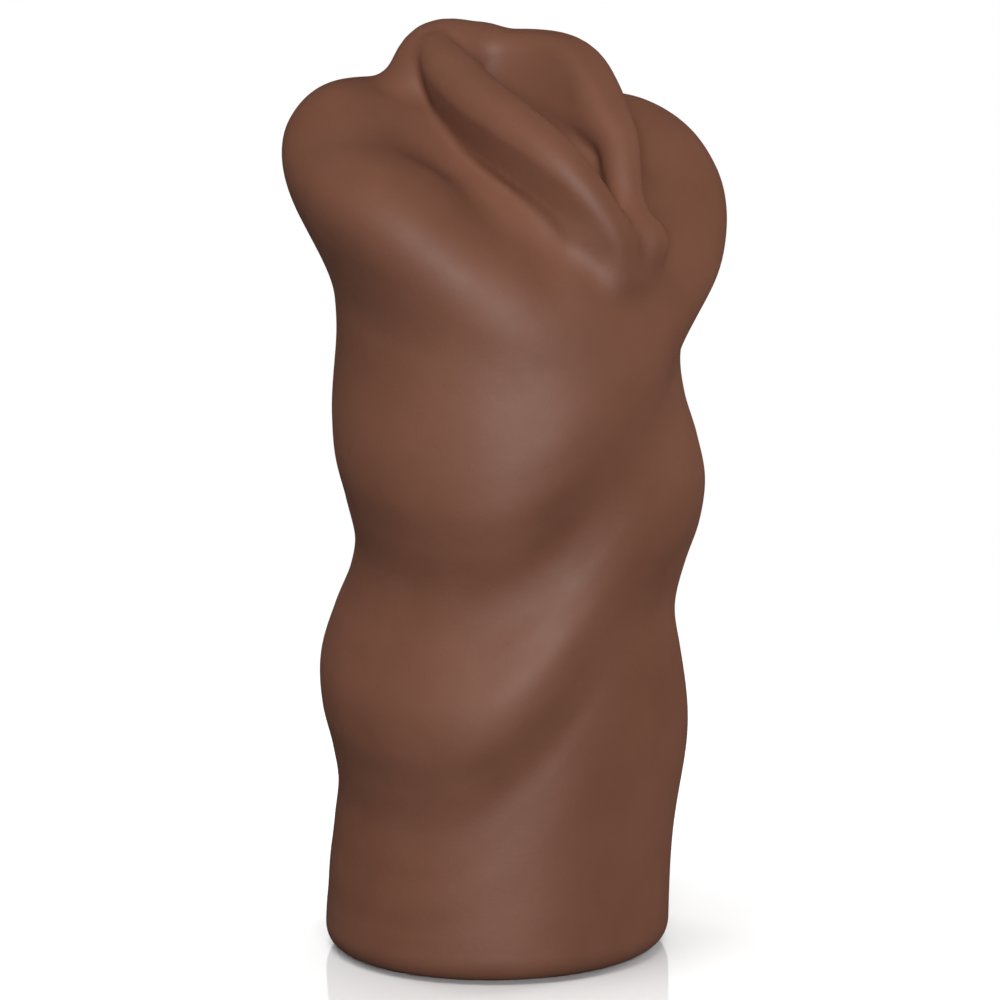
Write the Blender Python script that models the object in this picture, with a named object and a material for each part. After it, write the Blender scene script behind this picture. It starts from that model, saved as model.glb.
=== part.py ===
"""Hand-held soft elastomer sleeve: a rippled grip body with a flared, folded mouth end, and a ribbed canal
liner poured inside it. Metres, +Z up, origin at the centre of the flat base. The front, where the mouth end
dips, faces -Y."""

import math

import bmesh
import bpy
import numpy as np

MM = 0.001

# Driving dimensions
GRIP_RADIUS = 28.4 * MM
CANAL_Y = -6 * MM
BORE_RADIUS = 8 * MM
RIB_HEIGHT = 1.2 * MM
RIB_COUNT = 10
LINER_WALL = 4 * MM
LINER_FLOOR_Z = 14 * MM
LINER_FLOOR = 6 * MM
LINER_TOP_Z = 114 * MM
POUR_GAP = 0.3 * MM

BASE_CORNER = 3.8
SIDE_SWELL = 0.6
# How far a full-slant ring of the grip climbs, in millimetres, from the right side round by the back, the
# left and the front, in equal turns; the pattern turns by TWIST degrees for each millimetre of height about
# TWIST_LEVEL.
SLANT = (9, 5, 1, -3, -7, -10.5, -13, -16.5, -19.5, -21.5, -19.5, -9, 8, 13.5, 14, 12)
TWIST = 0.3
TWIST_LEVEL = 62.0

SEGMENTS = 40
RINGS_PER_SPAN = 3
LINER_SEGMENTS = 32
RINGS_PER_RIB = 4

SLEEVE_COLOUR = (0.168, 0.077, 0.050, 1.0)
LINER_COLOUR = (0.200, 0.092, 0.062, 1.0)


def smooth_loop(values, turn):
    """Evenly spaced values made a smooth loop, read at the given turns in degrees."""
    values = np.asarray(values, float)
    at = (turn / 360 * len(values)) % len(values)
    i = at.astype(int)
    t = at - i
    a, b, c, d = (values[(i + k) % len(values)] for k in (-1, 0, 1, 2))
    return b + t * (c - a) / 2 + t**2 * (a - 2.5 * b + 2 * c - d / 2) + t**3 * (1.5 * (b - c) + (d - a) / 2)


def around(values, segments):
    """Eight values, at right, back right, back, back left, left, front left, front and front right, made a
    smooth loop of one value for each segment."""
    return smooth_loop(values, np.arange(segments) * 360 / segments)


def oval(centre_y, right, back, left, front, pinch=0.0):
    """X and Y of an oval loop about (0, centre_y), from its reach in the four directions, in millimetres.
    pinch draws its front end to a point."""
    turn = np.arange(SEGMENTS) * 2 * math.pi / SEGMENTS
    x = np.cos(turn)
    y = np.sin(turn)
    narrowed = 1 - pinch * np.maximum(0, -y) ** 2
    return np.where(x > 0, right, left) * x * narrowed, centre_y + np.where(y > 0, back, front) * y


def grip_ring(level, slant, radius, centre_y):
    """A nearly round ring of the grip body, its measures in millimetres. slant is its share of the full climb
    round the grip."""
    turn = np.arange(SEGMENTS) * 360 / SEGMENTS
    z = np.full(SEGMENTS, float(level))
    for _ in range(5):
        z = level + slant * smooth_loop(SLANT, turn - TWIST * (z - TWIST_LEVEL))
    across = radius + SIDE_SWELL * np.cos(2 * np.radians(turn))
    x = across * np.cos(np.radians(turn))
    y = centre_y + across * np.sin(np.radians(turn))
    return np.stack([x, y, z], axis=1) * MM


def lobed_ring(centre_y, reaches, heights):
    """A ring of the flared end, from its eight reaches and its eight heights, in millimetres."""
    turn = np.arange(SEGMENTS) * 2 * math.pi / SEGMENTS
    reach = around(reaches, SEGMENTS)
    x = reach * np.cos(turn)
    y = centre_y + reach * np.sin(turn)
    return np.stack([x, y, around(heights, SEGMENTS)], axis=1) * MM


def fold_ring(centre_y, reaches, heights, pinch=0.5):
    """A long ring of the folds, from its reach right, back, left and front, and its eight heights, all in
    millimetres."""
    x, y = oval(centre_y, *reaches, pinch)
    return np.stack([x, y, around(heights, SEGMENTS)], axis=1) * MM


def base_rings():
    """The flat base and its rounded edge."""
    radius = GRIP_RADIUS / MM
    flat = [grip_ring(0, 0, r, 0) for r in (9, 17, radius - BASE_CORNER)]
    turns = [math.radians(a) for a in (30, 60, 90)]
    edge = [
        grip_ring(BASE_CORNER * (1 - math.cos(a)), 0, radius - BASE_CORNER * (1 - math.sin(a)), 0)
        for a in turns
    ]
    return flat, edge


def grip_rings():
    """The grip's waists and bulges, from the base up: level, share of the slant, radius and centre's Y."""
    return [
        grip_ring(8.0, 0.10, 28.1, -0.2),
        grip_ring(16.0, 0.40, 28.1, -0.8),
        grip_ring(26.0, 0.74, 28.9, -1.9),
        grip_ring(36.5, 1.00, 27.8, -2.5),
        grip_ring(43.5, 1.00, 27.2, -2.0),
        grip_ring(50.0, 1.00, 28.9, -1.7),
        grip_ring(56.5, 1.00, 30.7, -2.8),
        grip_ring(63.0, 1.00, 30.9, -3.3),
        grip_ring(70.0, 1.00, 29.3, -3.7),
        grip_ring(76.5, 1.00, 27.1, -4.4),
        grip_ring(82.0, 0.97, 26.3, -4.9),
        grip_ring(89.5, 0.88, 28.2, -4.7),
        grip_ring(98.0, 0.58, 29.7, -4.2),
        grip_ring(104.0, 0.25, 29.5, -4.8),
    ]


def mouth_rings():
    """The flared end, from its widest ring over the rim, up the folds and down into the slot between them."""
    return [
        lobed_ring(
            -2, (37.2, 35.8, 33, 35.2, 37.4, 32.6, 29.6, 35.8), (122, 128, 130, 129, 123, 112, 109, 117.5)
        ),
        lobed_ring(
            -2, (35.6, 33.2, 30, 33.0, 35.6, 31.0, 29.8, 33.9), (132, 137, 138, 137, 132, 118.5, 111, 125)
        ),
        lobed_ring(
            -2, (30.0, 28.0, 26, 28.0, 29.0, 27.0, 29.8, 28.5), (138, 141, 141, 141, 137.5, 123.5, 113, 129)
        ),
        fold_ring(-4.0, (23.5, 26.0, 19.5, 28.2), (138, 142, 142, 140.5, 134.5, 124.0, 113.4, 126), 0.1),
        fold_ring(-6.0, (18.5, 26.5, 11.5, 26.6), (139, 143, 143.5, 141, 133.0, 122.5, 114.8, 123), 0.3),
        fold_ring(-8.0, (17.0, 26.0, 14.2, 25.0), (144, 147.6, 148, 145.5, 137.4, 125.5, 117.6, 124.5)),
        fold_ring(-9.0, (12.0, 22.0, 10.8, 22.2), (148.2, 149.9, 151.6, 149.8, 141.4, 129, 120.0, 128)),
        fold_ring(-8.6, (6.2, 16.6, 4.4, 19.0), (144, 147.5, 148, 146.5, 139.5, 126.5, 118.8, 126)),
        fold_ring(-7.4, (4.0, 9.8, 3.8, 12.0), (131, 133, 136, 133, 130, 122, 118.6, 122), 0.0),
    ]


def spline(rings):
    """The rings, and RINGS_PER_SPAN - 1 more in each gap, on a centripetal Catmull-Rom curve through each
    column of points."""
    rings = np.array(rings)
    ends = np.concatenate([2 * rings[:1] - rings[1:2], rings, 2 * rings[-1:] - rings[-2:-1]])
    gaps = np.sqrt(np.linalg.norm(np.diff(ends, axis=0), axis=2))
    made = []
    for k in range(len(rings) - 1):
        p = ends[k : k + 4]
        knots = np.concatenate([np.zeros((1, gaps.shape[1])), np.cumsum(gaps[k : k + 3], axis=0)])[:, :, None]
        for step in range(RINGS_PER_SPAN):
            at = knots[1] + (knots[2] - knots[1]) * step / RINGS_PER_SPAN
            level = [p[i] + (p[i + 1] - p[i]) * (at - knots[i]) / (knots[i + 1] - knots[i]) for i in range(3)]
            level = [
                level[i] + (level[i + 1] - level[i]) * (at - knots[i]) / (knots[i + 2] - knots[i])
                for i in range(2)
            ]
            made.append(level[0] + (level[1] - level[0]) * (at - knots[1]) / (knots[2] - knots[1]))
    return made + [rings[-1]]


def canal_ring(radius, z, segments):
    """A circle about the canal's own axis, in metres."""
    turn = np.arange(segments) * 2 * math.pi / segments
    x = radius * np.cos(turn)
    y = CANAL_Y + radius * np.sin(turn)
    return np.stack([x, y, np.full(segments, z)], axis=1)


def pocket_rings():
    """The neck under the slot, and the pocket that the liner fills."""
    outer = BORE_RADIUS + LINER_WALL + POUR_GAP
    top = LINER_TOP_Z + POUR_GAP
    bottom = LINER_FLOOR_Z - POUR_GAP
    levels = np.linspace(top, bottom, 9)
    neck = [canal_ring(BORE_RADIUS, z, SEGMENTS) for z in (top + 2.5 * MM, top)]
    return neck + [canal_ring(outer, z, SEGMENTS) for z in levels]


def skin(name, rings, first, last, colour):
    """A closed object over rings of equal count, ending in the points first and last."""
    mesh = bpy.data.meshes.new(name)
    shape = bmesh.new()
    start = shape.verts.new(first)
    loops = [[shape.verts.new(point) for point in ring] for ring in rings]
    end = shape.verts.new(last)
    count = len(loops[0])
    for i in range(count):
        j = (i + 1) % count
        shape.faces.new((start, loops[0][j], loops[0][i]))
        for low, high in zip(loops, loops[1:]):
            shape.faces.new((low[i], low[j], high[j], high[i]))
        shape.faces.new((end, loops[-1][i], loops[-1][j]))
    bmesh.ops.recalc_face_normals(shape, faces=shape.faces)
    shape.to_mesh(mesh)
    shape.free()
    mesh.shade_smooth()
    mesh.set_sharp_from_angle(angle=math.radians(50))
    made = bpy.data.objects.new(name, mesh)
    bpy.context.scene.collection.objects.link(made)
    made.data.materials.append(elastomer(name, colour))
    return made


def elastomer(name, colour):
    material = bpy.data.materials.new(name)
    material.use_nodes = True
    shader = material.node_tree.nodes["Principled BSDF"]
    shader.inputs["Base Color"].default_value = colour
    shader.inputs["Roughness"].default_value = 0.55
    shader.inputs["Metallic"].default_value = 0.0
    return material


def make_sleeve():
    flat, edge = base_rings()
    outside = flat + spline([flat[-1]] + edge + grip_rings() + mouth_rings())[1:]
    bottom = (0, CANAL_Y, LINER_FLOOR_Z - POUR_GAP)
    return skin("outer_sleeve", outside + pocket_rings(), (0, 0, 0), bottom, SLEEVE_COLOUR)


def make_liner():
    """A cup whose bore has round ribs along it."""
    outer = BORE_RADIUS + LINER_WALL
    bore_floor = LINER_FLOOR_Z + LINER_FLOOR
    outside = [canal_ring(outer, z, LINER_SEGMENTS) for z in np.linspace(LINER_FLOOR_Z, LINER_TOP_Z, 9)]
    bore = []
    steps = RIB_COUNT * RINGS_PER_RIB
    for i in range(steps + 1):
        share = i / steps
        rib = RIB_HEIGHT * (1 - math.cos(2 * math.pi * RIB_COUNT * share)) / 2
        height = LINER_TOP_Z + (bore_floor - LINER_TOP_Z) * share
        bore.append(canal_ring(BORE_RADIUS - rib, height, LINER_SEGMENTS))
    under = (0, CANAL_Y, LINER_FLOOR_Z)
    inside = (0, CANAL_Y, bore_floor)
    return skin("canal_liner", outside + bore, under, inside, LINER_COLOUR)


for old in list(bpy.data.objects):
    bpy.data.objects.remove(old)
make_sleeve()
make_liner()
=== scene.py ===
"""Looks for a hand-held soft elastomer sleeve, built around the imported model. The outer sleeve is shaped as
one smooth field, like clay, and its surface is then drawn as a mesh. Lengths in the shape code are
millimetres, +Z up, and the front faces -Y. Floor, lights and camera are in metres."""

import math

import bpy
import numpy as np
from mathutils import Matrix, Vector


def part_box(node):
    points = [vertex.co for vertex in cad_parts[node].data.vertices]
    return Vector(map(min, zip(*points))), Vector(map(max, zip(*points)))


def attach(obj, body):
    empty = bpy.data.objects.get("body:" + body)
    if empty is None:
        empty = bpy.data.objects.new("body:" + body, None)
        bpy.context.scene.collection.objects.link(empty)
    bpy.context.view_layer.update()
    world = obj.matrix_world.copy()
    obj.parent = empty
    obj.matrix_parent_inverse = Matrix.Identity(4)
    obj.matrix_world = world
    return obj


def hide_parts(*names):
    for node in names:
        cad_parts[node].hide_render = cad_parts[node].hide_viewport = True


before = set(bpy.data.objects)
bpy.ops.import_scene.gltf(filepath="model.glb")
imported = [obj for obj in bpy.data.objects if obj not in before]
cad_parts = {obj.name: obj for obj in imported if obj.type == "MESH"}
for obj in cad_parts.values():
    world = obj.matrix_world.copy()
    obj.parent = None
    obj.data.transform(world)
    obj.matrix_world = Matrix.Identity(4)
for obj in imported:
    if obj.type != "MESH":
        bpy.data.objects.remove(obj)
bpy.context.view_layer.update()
MM = 0.001

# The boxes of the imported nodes, and the sizes of the canal inside them.
SLEEVE_LOW, SLEEVE_HIGH = (np.array(corner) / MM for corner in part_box("outer_sleeve"))
LINER_LOW, LINER_HIGH = (np.array(corner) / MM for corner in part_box("canal_liner"))
CANAL_Y = (LINER_LOW[1] + LINER_HIGH[1]) / 2
LINER_RADIUS = (LINER_HIGH[0] - LINER_LOW[0]) / 2
LINER_MIDDLE = (LINER_LOW[2] + LINER_HIGH[2]) / 2
LINER_HALF = (LINER_HIGH[2] - LINER_LOW[2]) / 2
LINER_FLOOR = 6.0
LINER_EDGE = 0.8
# How far from its bottom and its top the liner's plain side begins and ends.
SIDE_FROM, SIDE_TO = 4, 1
BORE_RADIUS = 8.0
MOUTH_EDGE = 0.6
RIB_HEIGHT = 1.2
RIB_COUNT = 10
POUR_GAP = 0.3

# ---------------------------------------------------------------- the shape, as a field

# Waists and bulges of the grip from the base up: level, share of the rings' slant, and radius.
GRIP = np.array(
    [
        (-4.0, 0.00, 28.2),
        (0.0, 0.00, 28.2),
        (8.0, 0.10, 28.1),
        (16.0, 0.40, 27.9),
        (26.0, 0.74, 27.7),
        (36.5, 1.00, 27.1),
        (43.5, 1.00, 26.7),
        (50.0, 1.00, 28.0),
        (56.5, 1.00, 29.9),
        (63.0, 1.00, 30.4),
        (70.0, 1.00, 28.6),
        (76.5, 1.00, 26.4),
        (82.0, 1.00, 25.8),
        (90.0, 1.00, 27.8),
        (96.5, 1.00, 29.8),
        (102.0, 1.00, 30.4),
        (116.5, 1.00, 29.2),
        (150.0, 1.00, 30.0),
        (200.0, 1.00, 30.0),
    ]
)
# How far the grip leans to the front: height and the centre's Y.
LEAN = np.array(
    [
        (-4, 0), (0, 0), (10, -0.3), (28.5, -1.1), (47, -2.3), (57.6, -3.0), (69.5, -4.1), (75, -4.5),
        (95, -5.4), (106, -4.6), (118, -2.4), (150, -2), (200, -2),
    ],
    float,
)  # fmt: skip
# How far a ring at full slant climbs, from the right side round by the back, the left and the front.
SLANT = (9, 5, 1, -3, -7, -10.5, -13, -15.5, -17.5, -18.5, -16.5, -6, 10, 16, 14, 12)
SLANT_CENTRE_Y = -2
# That pattern turns by TWIST degrees for each millimetre of height above TWIST_LEVEL.
TWIST, TWIST_LEVEL = 0.4, 62.0
# Solving for a point's level: the height where the first guess takes the full climb, rounds, least slope.
GUESS_HEIGHT, LEVEL_ROUNDS, LEAST_SLOPE = 60, 4, 0.2
# Soft pads that stand out of the grip: turn in degrees, level of the ring it lies on, height and half width.
PADS = (
    (226, 92, 0.8, 10),
    (210, 91, 0.6, 10),
    (224, 54, 0.6, 10),
    (206, 53, 0.5, 10),
    (314, 27, 2.4, 10),
)
PAD_RADIUS = 29.0
# The rings are shallower where they climb: how much, in what turn, and over how many degrees.
SOFTER, SOFTER_TURN, SOFTER_WIDTH, MEAN_RADIUS = 0.66, 264.0, 27.0, 28.5
SIDE_SWELL = 0.6
# How far the flared end reaches, at the right, back right, back and so on round to front right.
FLARE = (38.2, 37.0, 34.6, 36.8, 38.4, 32.4, 30.6, 37.6)
# The heights that the flare grows between, and how much lower they are for each millimetre to the front.
FLARE_FROM, FLARE_TO, FLARE_DIP = 105.0, 131.0, 0.22
BASE_ROUNDING = 4.4
TOP_ROUNDING = 14.0

# Points that the top of the flared end passes near, before its folds.
CROWN = np.array(
    [
        (0, 24, 141.5), (-20, 17, 142.4), (20, 17, 143.0), (-30, 12, 136.6), (30, 12, 139.4),
        (-31, -2, 134.0), (31, -2, 139.0), (-27, -16, 126.3), (28, -16, 134.0),
        (-19, -25, 120.4), (20, -25, 123.5), (0, -33, 113.0),
        (-15, -5, 129.6), (-15, -13, 124.8), (-12, -22, 120.0),
        (17, -6, 136.4), (15, -16, 129.0), (10.5, -25, 120.5),
        (-21, -8, 130.4), (-13, 6, 137.4), (16, 6, 140.4), (0, 12, 143.0),
        (-10, -4.5, 133.0), (-10, -12, 129.0), (-9, -20.2, 125.4), (-5.5, -26.5, 121.0),
        (10, 0, 142.0), (9.4, -11.6, 138.0), (7, -20, 130.5), (4.5, -24.8, 124.0),
        (3, -4, 138.0), (2.5, -12, 132.5), (-1, -4, 135.0), (-1, -12, 129.5),
        (0.3, -20, 124.0), (0.8, -25.5, 119.5),
    ],
    float,
)  # fmt: skip
CROWN_SMOOTHING = 20.0
# Rounded ridges: X, Y, Z and radius along each.
LEFT_FOLD = (
    (-5.6, 8.0, 147.0, 2.9), (-7.6, 2.6, 143.9, 4.3), (-8.8, -4.9, 140.0, 4.7),
    (-9.0, -12.4, 136.6, 4.6), (-8.2, -20.4, 132.6, 4.1), (-6.5, -25.0, 128.2, 3.6),
    (-4.6, -27.6, 124.0, 3.2), (-2.6, -28.9, 119.8, 3.0), (-1.2, -28.2, 114.5, 2.8),
)  # fmt: skip
RIGHT_FOLD = (
    (6.0, 6.4, 143.8, 6.0), (9.6, 0.6, 142.6, 7.3), (10.0, -5.2, 142.0, 7.2),
    (9.0, -10.8, 139.6, 6.1), (8.0, -15.8, 137.0, 4.5), (7.0, -20.0, 134.0, 3.4),
    (5.4, -22.6, 129.8, 3.0), (4.2, -24.6, 125.8, 2.8), (3.8, -27.0, 122.0, 2.9),
    (4.8, -29.4, 118.8, 3.0), (4.2, -28.2, 114.5, 2.6),
)  # fmt: skip
HOOD = ((-5.6, 13.2, 140.8, 5.0), (-1.6, 11.6, 145.0, 6.3), (4.6, 9.4, 145.2, 5.6))
# How wide each ridge melts into the rest, and how much wider at the front: from FRONT_Y on, over FRONT_FADE.
HOOD_BLEND = 3.0
RIGHT_BLEND, RIGHT_BLEND_AHEAD = 2.6, 1.4
LEFT_BLEND, LEFT_BLEND_AHEAD = 1.6, 3.0
FRONT_Y, FRONT_FADE = -14, 12
CHAIN_BLEND = 0.3
# How far the left fold's foot reaches below its middle line, how much narrower it gets with each millimetre,
# the Y of its front end, and the length that it grows over.
FOLD_DROP, FOOT_TAPER, FOOT_Y, FOOT_FADE = 6.0, 0.06, -31, 6
# The slot that leads down to the canal: height, half width, half length, and the centre's Y and X.
SLOT = np.array(
    [
        (114.0, 8.0, 8.0, -6.0, 0.0),
        (118.0, 6.4, 9.2, -6.6, 0.0),
        (124.0, 3.9, 11.0, -7.0, 0.0),
        (132.0, 3.2, 13.0, -7.5, 0.3),
        (138.0, 4.1, 14.0, -7.8, 0.2),
        (144.0, 4.9, 13.5, -8.5, 0.7),
        (150.0, 5.8, 12.5, -9.5, 1.6),
        (160.0, 6.6, 12.0, -10.0, 3.0),
    ]
)
SLOT_FLOOR, SLOT_FLOOR_ROUNDING, SLOT_LIP = SLOT[0, 0], 1.0, 1.5
POCKET_LIP = 0.4
# The height that the flared end starts above.
END_FROM = 98
# A slope is nearer than it is straight across or straight up. These bring the fields nearer to true distance.
BODY_SCALE, CROWN_SCALE, SLOT_SCALE = 0.9, 0.86, 0.8


def cardinal(table, at):
    """Reads a table on a smooth curve through its rows: its other columns, where the first one equals at."""
    x = table[:, 0]
    slopes = np.gradient(table[:, 1:], x, axis=0)
    i = np.clip(np.searchsorted(x, at, side="right") - 1, 0, len(x) - 2)
    width = x[i + 1] - x[i]
    t = np.clip((at - x[i]) / width, 0, 1)[:, None]
    width = width[:, None]
    a, b = table[i, 1:], table[i + 1, 1:]
    h = t * t * (3 - 2 * t)
    return a + (b - a) * h + width * (slopes[i] * t * (1 - t) ** 2 - slopes[i + 1] * t * t * (1 - t))


# The tables, read finely once.
FINE = np.arange(-4.0, 190.0, 0.25)
SHARE_FINE, RADIUS_FINE = cardinal(GRIP, FINE).T
SHARE_SLOPE = np.gradient(SHARE_FINE, FINE)
LEAN_FINE = cardinal(LEAN, FINE)[:, 0]


def between(a, b, c, d, t):
    """The share t of the way from b to c, on a smooth curve through all four."""
    return b + t * (c - a) / 2 + t**2 * (a - 2.5 * b + 2 * c - d / 2) + t**3 * (1.5 * (b - c) + (d - a) / 2)


def around(values, turn):
    """Evenly spaced values made a smooth loop, read at the given turns in radians."""
    values = np.asarray(values, float)
    n = len(values)
    at = (turn / (2 * math.pi) * n) % n
    i = at.astype(int) % n
    return between(*(values[(i + k) % n] for k in (-1, 0, 1, 2)), at - np.floor(at))


def turned_from(turn, degrees):
    """How far each turn in radians is from a direction in degrees, between minus and plus half a turn."""
    return np.angle(np.exp(1j * (turn - math.radians(degrees))))


def smooth_max(a, b, k):
    return np.maximum(a, b) + np.maximum(k - np.abs(a - b), 0) ** 2 / (4 * k)


def smooth_min(a, b, k):
    return -smooth_max(-a, -b, k)


def plate(points, values, smoothing):
    """A smooth height field through points: returns a function of X and Y."""
    def kernel(d2):
        return d2 * np.log(d2 + 1e-9)

    n = len(points)
    gaps = ((points[:, None] - points[None]) ** 2).sum(2)
    square = np.zeros((n + 3, n + 3))
    square[:n, :n] = kernel(gaps) + smoothing * np.eye(n)
    square[:n, n] = square[n, :n] = 1
    square[:n, n + 1 :] = points
    square[n + 1 :, :n] = points.T
    weights = np.linalg.solve(square, np.concatenate([values, np.zeros(3)]))

    def read(x, y):
        height = weights[n] + weights[n + 1] * x + weights[n + 2] * y
        for (px, py), w in zip(points, weights):
            height = height + w * kernel((x - px) ** 2 + (y - py) ** 2)
        return height

    return read


crown = plate(CROWN[:, :2], CROWN[:, 2], CROWN_SMOOTHING)


def finer(chain, parts=5):
    """The chain's points and more between them, on a smooth curve."""
    points = np.array([chain[0], *chain, chain[-1]], float)
    made = []
    for four in zip(points, points[1:], points[2:], points[3:]):
        made += [between(*four, t) for t in np.arange(parts) / parts]
    return [*made, points[-1]]


def ridge(x, y, z, chain, drop=0.0):
    """Distance to a chain of round cones, joined smoothly. A foot under each reaches down by drop, and it
    narrows as it goes."""
    nearest = None
    chain = finer(chain)
    for (ax, ay, az, ar), (bx, by, bz, br) in zip(chain, chain[1:]):
        dx, dy, dz = bx - ax, by - ay, bz - az
        t = ((x - ax) * dx + (y - ay) * dy + (z - az) * dz) / (dx * dx + dy * dy + dz * dz)
        t = np.clip(t, 0, 1)
        up = z - az - t * dz
        foot = np.clip(-up, 0, drop)
        radius = (ar + t * (br - ar)) * (1 - FOOT_TAPER * foot)
        away = np.sqrt((x - ax - t * dx) ** 2 + (y - ay - t * dy) ** 2 + (up + foot) ** 2) - radius
        nearest = away if nearest is None else smooth_min(nearest, away, CHAIN_BLEND)
    return nearest


def ring_level(x, y, z):
    """The level of the slanting ring that passes through each point, found by Newton's method."""
    climb = around(SLANT, np.arctan2(y - SLANT_CENTRE_Y, x) - np.radians(TWIST * (z - TWIST_LEVEL)))
    level = z - climb * np.clip(z / GUESS_HEIGHT, 0, 1)
    for _ in range(LEVEL_ROUNDS):
        miss = level + np.interp(level, FINE, SHARE_FINE) * climb - z
        level = level - miss / np.maximum(1 + np.interp(level, FINE, SHARE_SLOPE) * climb, LEAST_SLOPE)
    return level


def body_field(x, y, z):
    """Signed distance, nearly, to the grip and the flared end's outside."""
    level = ring_level(x, y, z)
    radius = np.interp(level, FINE, RADIUS_FINE)
    centre = np.interp(z, FINE, LEAN_FINE)
    turn = np.arctan2(y - centre, x)
    off = np.degrees(turned_from(turn, SOFTER_TURN))
    radius = radius + (MEAN_RADIUS - radius) * SOFTER * np.exp(-((off / SOFTER_WIDTH) ** 2))
    grip = radius + SIDE_SWELL * np.cos(2 * turn)
    for where, height, out, width in PADS:
        away = (turned_from(turn, where) * PAD_RADIUS) ** 2 + (level - height) ** 2
        grip += out * np.exp(-away / width**2)
    share = np.clip((z - FLARE_DIP * y - FLARE_FROM) / (FLARE_TO - FLARE_FROM), 0, 1)
    share = share * share * (3 - 2 * share)
    reach = grip + (around(FLARE, turn) - grip) * share
    return (np.hypot(x, y - centre) - reach) * BODY_SCALE


def slot_field(x, y, z):
    """Signed distance, nearly, to the slot between the folds."""
    half, length, centre, lean = (np.interp(z, SLOT[:, 0], SLOT[:, k]) for k in (1, 2, 3, 4))
    slot = (np.sqrt(((x - lean) / half) ** 2 + ((y - centre) / length) ** 2) - 1) * half * SLOT_SCALE
    return smooth_max(slot, SLOT_FLOOR - z, SLOT_FLOOR_ROUNDING)


def end_field(x, y, z, body):
    """The flared end: the body cut off by the crown, with the folds put on and the slot taken out."""
    ahead = np.clip((FRONT_Y - y) / FRONT_FADE, 0, 1)
    drop = FOLD_DROP * np.clip((y - FOOT_Y) / FOOT_FADE, 0, 1)
    shape = smooth_max(body, (z - crown(x, y)) * CROWN_SCALE, TOP_ROUNDING)
    shape = smooth_min(shape, ridge(x, y, z, HOOD), HOOD_BLEND)
    shape = smooth_min(shape, ridge(x, y, z, RIGHT_FOLD), RIGHT_BLEND + RIGHT_BLEND_AHEAD * ahead)
    shape = smooth_min(shape, ridge(x, y, z, LEFT_FOLD, drop), LEFT_BLEND + LEFT_BLEND_AHEAD * ahead)
    return smooth_max(shape, -slot_field(x, y, z), SLOT_LIP)


def sleeve_field(x, y, z):
    """Signed distance, nearly, to the whole outer pour, with its flat base and the liner's pocket."""
    body = body_field(x, y, z)
    shape = body.copy()
    high = z > END_FROM
    if high.any():
        shape[high] = end_field(x[high], y[high], z[high], body[high])
    shape = smooth_max(shape, -z, BASE_ROUNDING)
    across = np.hypot(x, y - CANAL_Y) - LINER_RADIUS - POUR_GAP
    along = np.abs(z - LINER_MIDDLE) - LINER_HALF - POUR_GAP
    return smooth_max(shape, -np.maximum(across, along), POCKET_LIP)


# ---------------------------------------------------------------- the field's surface, as a mesh

# The grid that the field is read on: its step, and how far it reaches past the sleeve's box.
STEP = 0.5
GRID_MARGIN = 4
# Settling the vertices: rounds, and how far each vertex goes towards the middle of its neighbours.
SETTLE_ROUNDS, EVENING = 3, 0.5
# Then back to the surface: steps, what length the slope is measured over, least squared slope, longest step.
RETURN_STEPS, SLOPE_OVER, LEAST_SQUARE, LONGEST_STEP = 2, 0.05, 0.2, 0.4


def sample(read, low, high, step):
    """The field on a grid of points, one layer at a time."""
    axes = [np.arange(a, b + step, step) for a, b in zip(low, high)]
    x, y = (part.ravel() for part in np.meshgrid(axes[0], axes[1], indexing="ij"))
    layers = [read(x, y, np.full(len(x), z)).reshape(len(axes[0]), len(axes[1])) for z in axes[2]]
    return np.stack(layers, axis=2)


def contour(field, low, step):
    """Vertices and four-sided faces on the field's zero surface, one vertex to each cell that it crosses."""
    inside = field < 0
    shape = np.array(field.shape)
    corners = sum(
        inside[a : shape[0] - 1 + a, b : shape[1] - 1 + b, c : shape[2] - 1 + c].astype(np.int8)
        for a in (0, 1)
        for b in (0, 1)
        for c in (0, 1)
    )
    active = (corners > 0) & (corners < 8)
    cells = np.argwhere(active)
    index = np.full(active.shape, -1)
    index[active] = np.arange(len(cells))
    total = np.zeros((len(cells), 3))
    hits = np.zeros(len(cells))
    faces = []
    for axis in range(3):
        unit = np.eye(3, dtype=int)[axis]
        others = [np.eye(3, dtype=int)[k] for k in range(3) if k != axis]
        for u in (0, 1):
            for v in (0, 1):
                start = cells + u * others[0] + v * others[1]
                a = field[tuple(start.T)]
                b = field[tuple((start + unit).T)]
                crossed = (a < 0) != (b < 0)
                share = a[crossed] / (a[crossed] - b[crossed])
                total[crossed] += start[crossed] + share[:, None] * unit
                hits[crossed] += 1
        cut = inside != np.roll(inside, -1, axis)
        cut[tuple(slice(-1, None) if k == axis else slice(None) for k in range(3))] = False
        edges = np.argwhere(cut)
        flip = inside[tuple(edges.T)] == (axis != 1)
        ring = [edges, edges - others[0], edges - others[0] - others[1], edges - others[1]]
        quads = np.stack([index[tuple(corner.T)] for corner in ring], axis=1)
        quads[flip] = quads[flip][:, ::-1]
        faces.append(quads)
    return low + step * total / hits[:, None], np.concatenate(faces)


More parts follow.
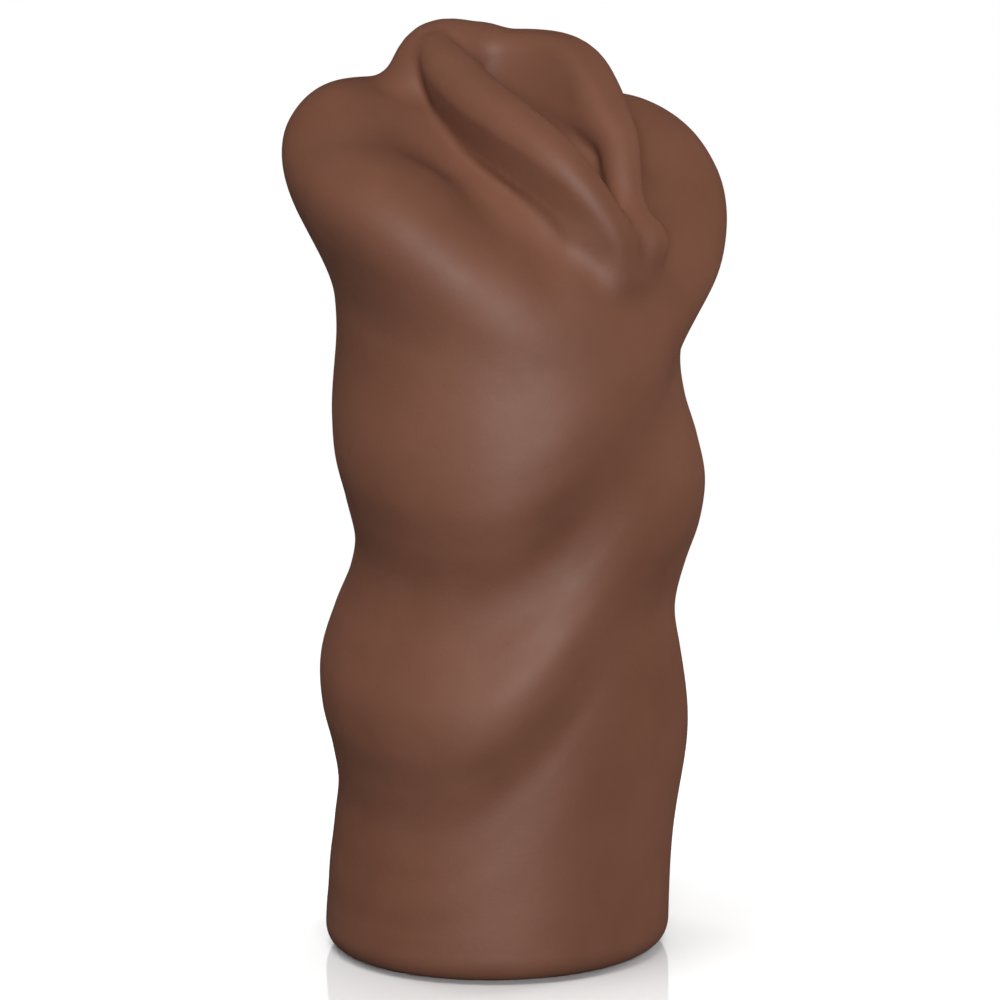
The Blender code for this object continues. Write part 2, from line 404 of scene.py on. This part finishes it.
def settle(points, faces, read):
    """Evens the vertices out and puts each one back on the field's zero surface."""
    count = len(points)
    a = faces.ravel()
    b = np.roll(faces, 1, axis=1).ravel()
    number = np.bincount(a, minlength=count)[:, None]
    offsets = SLOPE_OVER * np.eye(3)
    for _ in range(SETTLE_ROUNDS):
        mean = np.stack([np.bincount(a, points[b, k], count) for k in range(3)], axis=1) / number
        points = points + EVENING * (mean - points)
        for _ in range(RETURN_STEPS):
            here = read(*points.T)
            slope = np.stack([(read(*(points + off).T) - here) / SLOPE_OVER for off in offsets], axis=1)
            square = np.maximum((slope**2).sum(1), LEAST_SQUARE)
            move = -(here / square)[:, None] * slope
            length = np.linalg.norm(move, axis=1)[:, None]
            points = points + move * np.minimum(1, LONGEST_STEP / np.maximum(length, 1e-9))
    return points


def object_from(name, points, faces, material):
    """A smooth-shaded object from points in millimetres."""
    mesh = bpy.data.meshes.new(name)
    mesh.from_pydata((np.asarray(points) * MM).tolist(), [], [tuple(map(int, face)) for face in faces])
    mesh.validate()
    mesh.shade_smooth()
    made = bpy.data.objects.new(name, mesh)
    bpy.context.scene.collection.objects.link(made)
    made.data.materials.append(material)
    return made


# ---------------------------------------------------------------- materials


def nodes_of(name):
    material = bpy.data.materials.new(name)
    material.use_nodes = True
    tree = material.node_tree
    return material, tree, tree.nodes["Principled BSDF"]


def elastomer(name, deep, light):
    """Matte cast elastomer: mottled colour, a little light let through, and a fine dull skin."""
    material, tree, shader = nodes_of(name)
    add, link = tree.nodes.new, tree.links.new
    place = add("ShaderNodeTexCoord").outputs["Object"]

    def noise(scale, detail, roughness=0.55):
        made = add("ShaderNodeTexNoise")
        made.inputs["Scale"].default_value = scale
        made.inputs["Detail"].default_value = detail
        made.inputs["Roughness"].default_value = roughness
        link(place, made.inputs["Vector"])
        return made.outputs["Fac"]

    def bump(strength, distance, height):
        made = add("ShaderNodeBump")
        made.inputs["Strength"].default_value = strength
        made.inputs["Distance"].default_value = distance
        link(height, made.inputs["Height"])
        return made

    mottle = add("ShaderNodeValToRGB")
    mottle.color_ramp.elements[0].position = 0.30
    mottle.color_ramp.elements[1].position = 0.72
    mottle.color_ramp.elements[0].color = deep
    mottle.color_ramp.elements[1].color = light
    link(noise(scale=38, detail=3), mottle.inputs["Fac"])
    link(mottle.outputs["Color"], shader.inputs["Base Color"])
    gloss = add("ShaderNodeMapRange")
    gloss.inputs["To Min"].default_value = 0.52
    gloss.inputs["To Max"].default_value = 0.66
    link(noise(scale=160, detail=4), gloss.inputs["Value"])
    link(gloss.outputs["Result"], shader.inputs["Roughness"])
    skin = bump(strength=0.12, distance=0.0002, height=noise(scale=1900, detail=3, roughness=0.6))
    swell = bump(strength=0.10, distance=0.0008, height=noise(scale=240, detail=2, roughness=0.5))
    link(skin.outputs["Normal"], swell.inputs["Normal"])
    link(swell.outputs["Normal"], shader.inputs["Normal"])
    shader.inputs["Subsurface Weight"].default_value = 0.10
    shader.inputs["Subsurface Radius"].default_value = (1.0, 0.42, 0.28)
    shader.inputs["Subsurface Scale"].default_value = 0.002
    shader.inputs["Specular IOR Level"].default_value = 0.36
    return material


OUTER = elastomer("outer_elastomer", deep=(0.150, 0.0600, 0.0350, 1), light=(0.184, 0.0770, 0.0475, 1))
INNER = elastomer("liner_elastomer", deep=(0.178, 0.0690, 0.0390, 1), light=(0.210, 0.0860, 0.0520, 1))

# ---------------------------------------------------------------- the two pieces

grid_low = SLEEVE_LOW - GRID_MARGIN
grid = sample(sleeve_field, grid_low, SLEEVE_HIGH + GRID_MARGIN, STEP)
surface, quads = contour(grid, grid_low, STEP)
surface = settle(surface, quads, sleeve_field)
sleeve = object_from("sleeve_moulding", surface, quads, OUTER)
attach(sleeve, "root")
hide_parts("outer_sleeve")


def liner_mesh(segments=96, side_rows=30, bore_rows=181):
    """The inner pour: a cup with rounded ribs along its bore."""
    turn = np.arange(segments) * 2 * math.pi / segments
    bottom, top = LINER_LOW[2], LINER_HIGH[2]
    floor, mouth = bottom + LINER_FLOOR, top - MOUTH_EDGE
    rows = [(bottom, LINER_RADIUS - LINER_EDGE), (bottom + LINER_EDGE, LINER_RADIUS)]
    rows += [(z, LINER_RADIUS) for z in np.linspace(bottom + SIDE_FROM, top - SIDE_TO, side_rows)]
    rows += [(top, LINER_RADIUS - MOUTH_EDGE), (top, BORE_RADIUS + LINER_EDGE)]
    for share in np.linspace(0, 1, bore_rows):
        rib = RIB_HEIGHT * (1 - math.cos(2 * math.pi * RIB_COUNT * share)) / 2
        rows.append((mouth + (floor - mouth) * share, BORE_RADIUS - rib))
    points = [(0, CANAL_Y, bottom)]
    for z, radius in rows:
        points += [(radius * math.cos(a), CANAL_Y + radius * math.sin(a), z) for a in turn]
    points.append((0, CANAL_Y, floor))
    faces = []
    last = len(points) - 1
    last_row = last - segments
    for i in range(segments):
        j = (i + 1) % segments
        faces.append((0, 1 + j, 1 + i))
        faces.append((last, last_row + i, last_row + j))
        for r in range(len(rows) - 1):
            a, b = 1 + r * segments, 1 + (r + 1) * segments
            faces.append((a + i, a + j, b + j, b + i))
    return points, faces


liner = object_from("liner_moulding", *liner_mesh(), INNER)
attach(liner, "root")
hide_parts("canal_liner")

# ---------------------------------------------------------------- floor, light and camera

FLOOR_RADIUS = 0.31
FLOOR_FADE_FROM, FLOOR_FADE_TO = 0.10, 0.30
FLOOR_SIDES = 96
# Where the camera stands: its turn about the part, how steeply it looks down, and from how far off.
CAMERA_TURN = math.radians(-45)
CAMERA_RISE = math.radians(11)
CAMERA_DISTANCE = 1.0
LENS = 221.4
ACROSS = Vector((math.cos(CAMERA_TURN), math.sin(CAMERA_TURN), 0))
AWAY = Vector((-math.sin(CAMERA_TURN), math.cos(CAMERA_TURN), 0))
LOOK_AT = Vector((0, 0, 0.0740)) + ACROSS * 0.0005
# What the lights point at, near the part's middle.
MIDDLE = Vector((0, 0, 0.076))
# How bright the surroundings are as a light. To the camera they are plain white.
SURROUNDINGS = 0.06
BACKDROP_WIDTH, BACKDROP_HEIGHT = 4.0, 1.6


def make_floor():
    """A glossy white disc under the part that fades out into the white surroundings."""
    material, tree, shader = nodes_of("floor_white")
    shader.inputs["Base Color"].default_value = (0.84, 0.84, 0.84, 1)
    shader.inputs["Roughness"].default_value = 0.07
    add, link = tree.nodes.new, tree.links.new
    place = add("ShaderNodeTexCoord")
    far = add("ShaderNodeVectorMath")
    far.operation = "LENGTH"
    link(place.outputs["Object"], far.inputs[0])
    fade = add("ShaderNodeMapRange")
    fade.interpolation_type = "SMOOTHSTEP"
    fade.inputs["From Min"].default_value = FLOOR_FADE_FROM
    fade.inputs["From Max"].default_value = FLOOR_FADE_TO
    link(far.outputs["Value"], fade.inputs["Value"])
    clear = add("ShaderNodeBsdfTransparent")
    mix = add("ShaderNodeMixShader")
    link(fade.outputs["Result"], mix.inputs["Fac"])
    link(shader.outputs["BSDF"], mix.inputs[1])
    link(clear.outputs["BSDF"], mix.inputs[2])
    link(mix.outputs["Shader"], tree.nodes["Material Output"].inputs["Surface"])
    turn = [math.tau * i / FLOOR_SIDES for i in range(FLOOR_SIDES)]
    rim = [(FLOOR_RADIUS * math.cos(a), FLOOR_RADIUS * math.sin(a), 0) for a in turn]
    mesh = bpy.data.meshes.new("floor")
    mesh.from_pydata(rim, [], [tuple(range(FLOOR_SIDES))])
    mesh.materials.append(material)
    made = bpy.data.objects.new("floor", mesh)
    made.visible_diffuse = False
    made.visible_glossy = False
    bpy.context.scene.collection.objects.link(made)
    return made


def aim(thing, target):
    thing.rotation_euler = (Vector(target) - thing.location).to_track_quat("-Z", "Y").to_euler()


def soft_light(name, across, towards, up, width, height, power, glossy=True, only=None):
    """An area light placed as the camera sees the part: across to the right, towards the camera, and up. It
    shows as a reflection if it is glossy, and it lights just one object if only names it."""
    data = bpy.data.lights.new(name, "AREA")
    data.shape = "RECTANGLE"
    data.size, data.size_y = width, height
    data.energy = power
    light = bpy.data.objects.new(name, data)
    light.visible_glossy = glossy
    light.visible_camera = False
    light.location = ACROSS * across - AWAY * towards + Vector((0, 0, up))
    bpy.context.scene.collection.objects.link(light)
    aim(light, MIDDLE)
    if only:
        lit = bpy.data.collections.new(name + "_lights_only")
        lit.objects.link(only)
        light.light_linking.receiver_collection = lit


def make_surroundings():
    """White to the camera, and a weak even light on everything."""
    world = bpy.data.worlds.new("studio")
    bpy.context.scene.world = world
    world.use_nodes = True
    sky = world.node_tree
    rays = sky.nodes.new("ShaderNodeLightPath")
    dim = sky.nodes.new("ShaderNodeMapRange")
    dim.inputs["To Min"].default_value = SURROUNDINGS
    dim.inputs["To Max"].default_value = 1.0
    sky.links.new(rays.outputs["Is Camera Ray"], dim.inputs["Value"])
    sky.nodes["Background"].inputs["Color"].default_value = (1, 1, 1, 1)
    sky.links.new(dim.outputs["Result"], sky.nodes["Background"].inputs["Strength"])


def make_camera():
    lens = bpy.data.cameras.new("camera")
    lens.sensor_width = 36
    lens.lens = LENS
    lens.clip_end = 100
    camera = bpy.data.objects.new("camera", lens)
    bpy.context.scene.collection.objects.link(camera)
    back = CAMERA_DISTANCE * math.cos(CAMERA_RISE)
    rise = CAMERA_DISTANCE * math.sin(CAMERA_RISE)
    camera.location = LOOK_AT - AWAY * back + Vector((0, 0, rise))
    aim(camera, LOOK_AT)
    bpy.context.scene.camera = camera


floor = make_floor()
soft_light("key", across=0.10, towards=1.18, up=0.34, width=0.50, height=0.44, power=14.2)
soft_light("left_edge", across=-0.95, towards=-0.75, up=0.25, width=0.4, height=0.9, power=6.5, glossy=False)
soft_light("right_edge", across=0.95, towards=-0.60, up=0.25, width=0.4, height=0.9, power=11.0, glossy=False)
soft_light("top", across=-0.35, towards=0.30, up=1.1, width=0.5, height=0.5, power=5.0, glossy=False)
soft_light(
    "floor_wash", across=0, towards=0, up=1.5, width=1.0, height=1.0, power=15, glossy=False, only=floor
)
# The backdrop is as bright as plain white in the floor's reflection, which takes pi watts a square metre.
soft_light(
    "backdrop", across=0, towards=-1.3, up=0.5, width=BACKDROP_WIDTH, height=BACKDROP_HEIGHT,
    power=math.pi * BACKDROP_WIDTH * BACKDROP_HEIGHT, only=floor,
)  # fmt: skip
make_surroundings()
bpy.context.scene.view_settings.view_transform = "Standard"
make_camera()
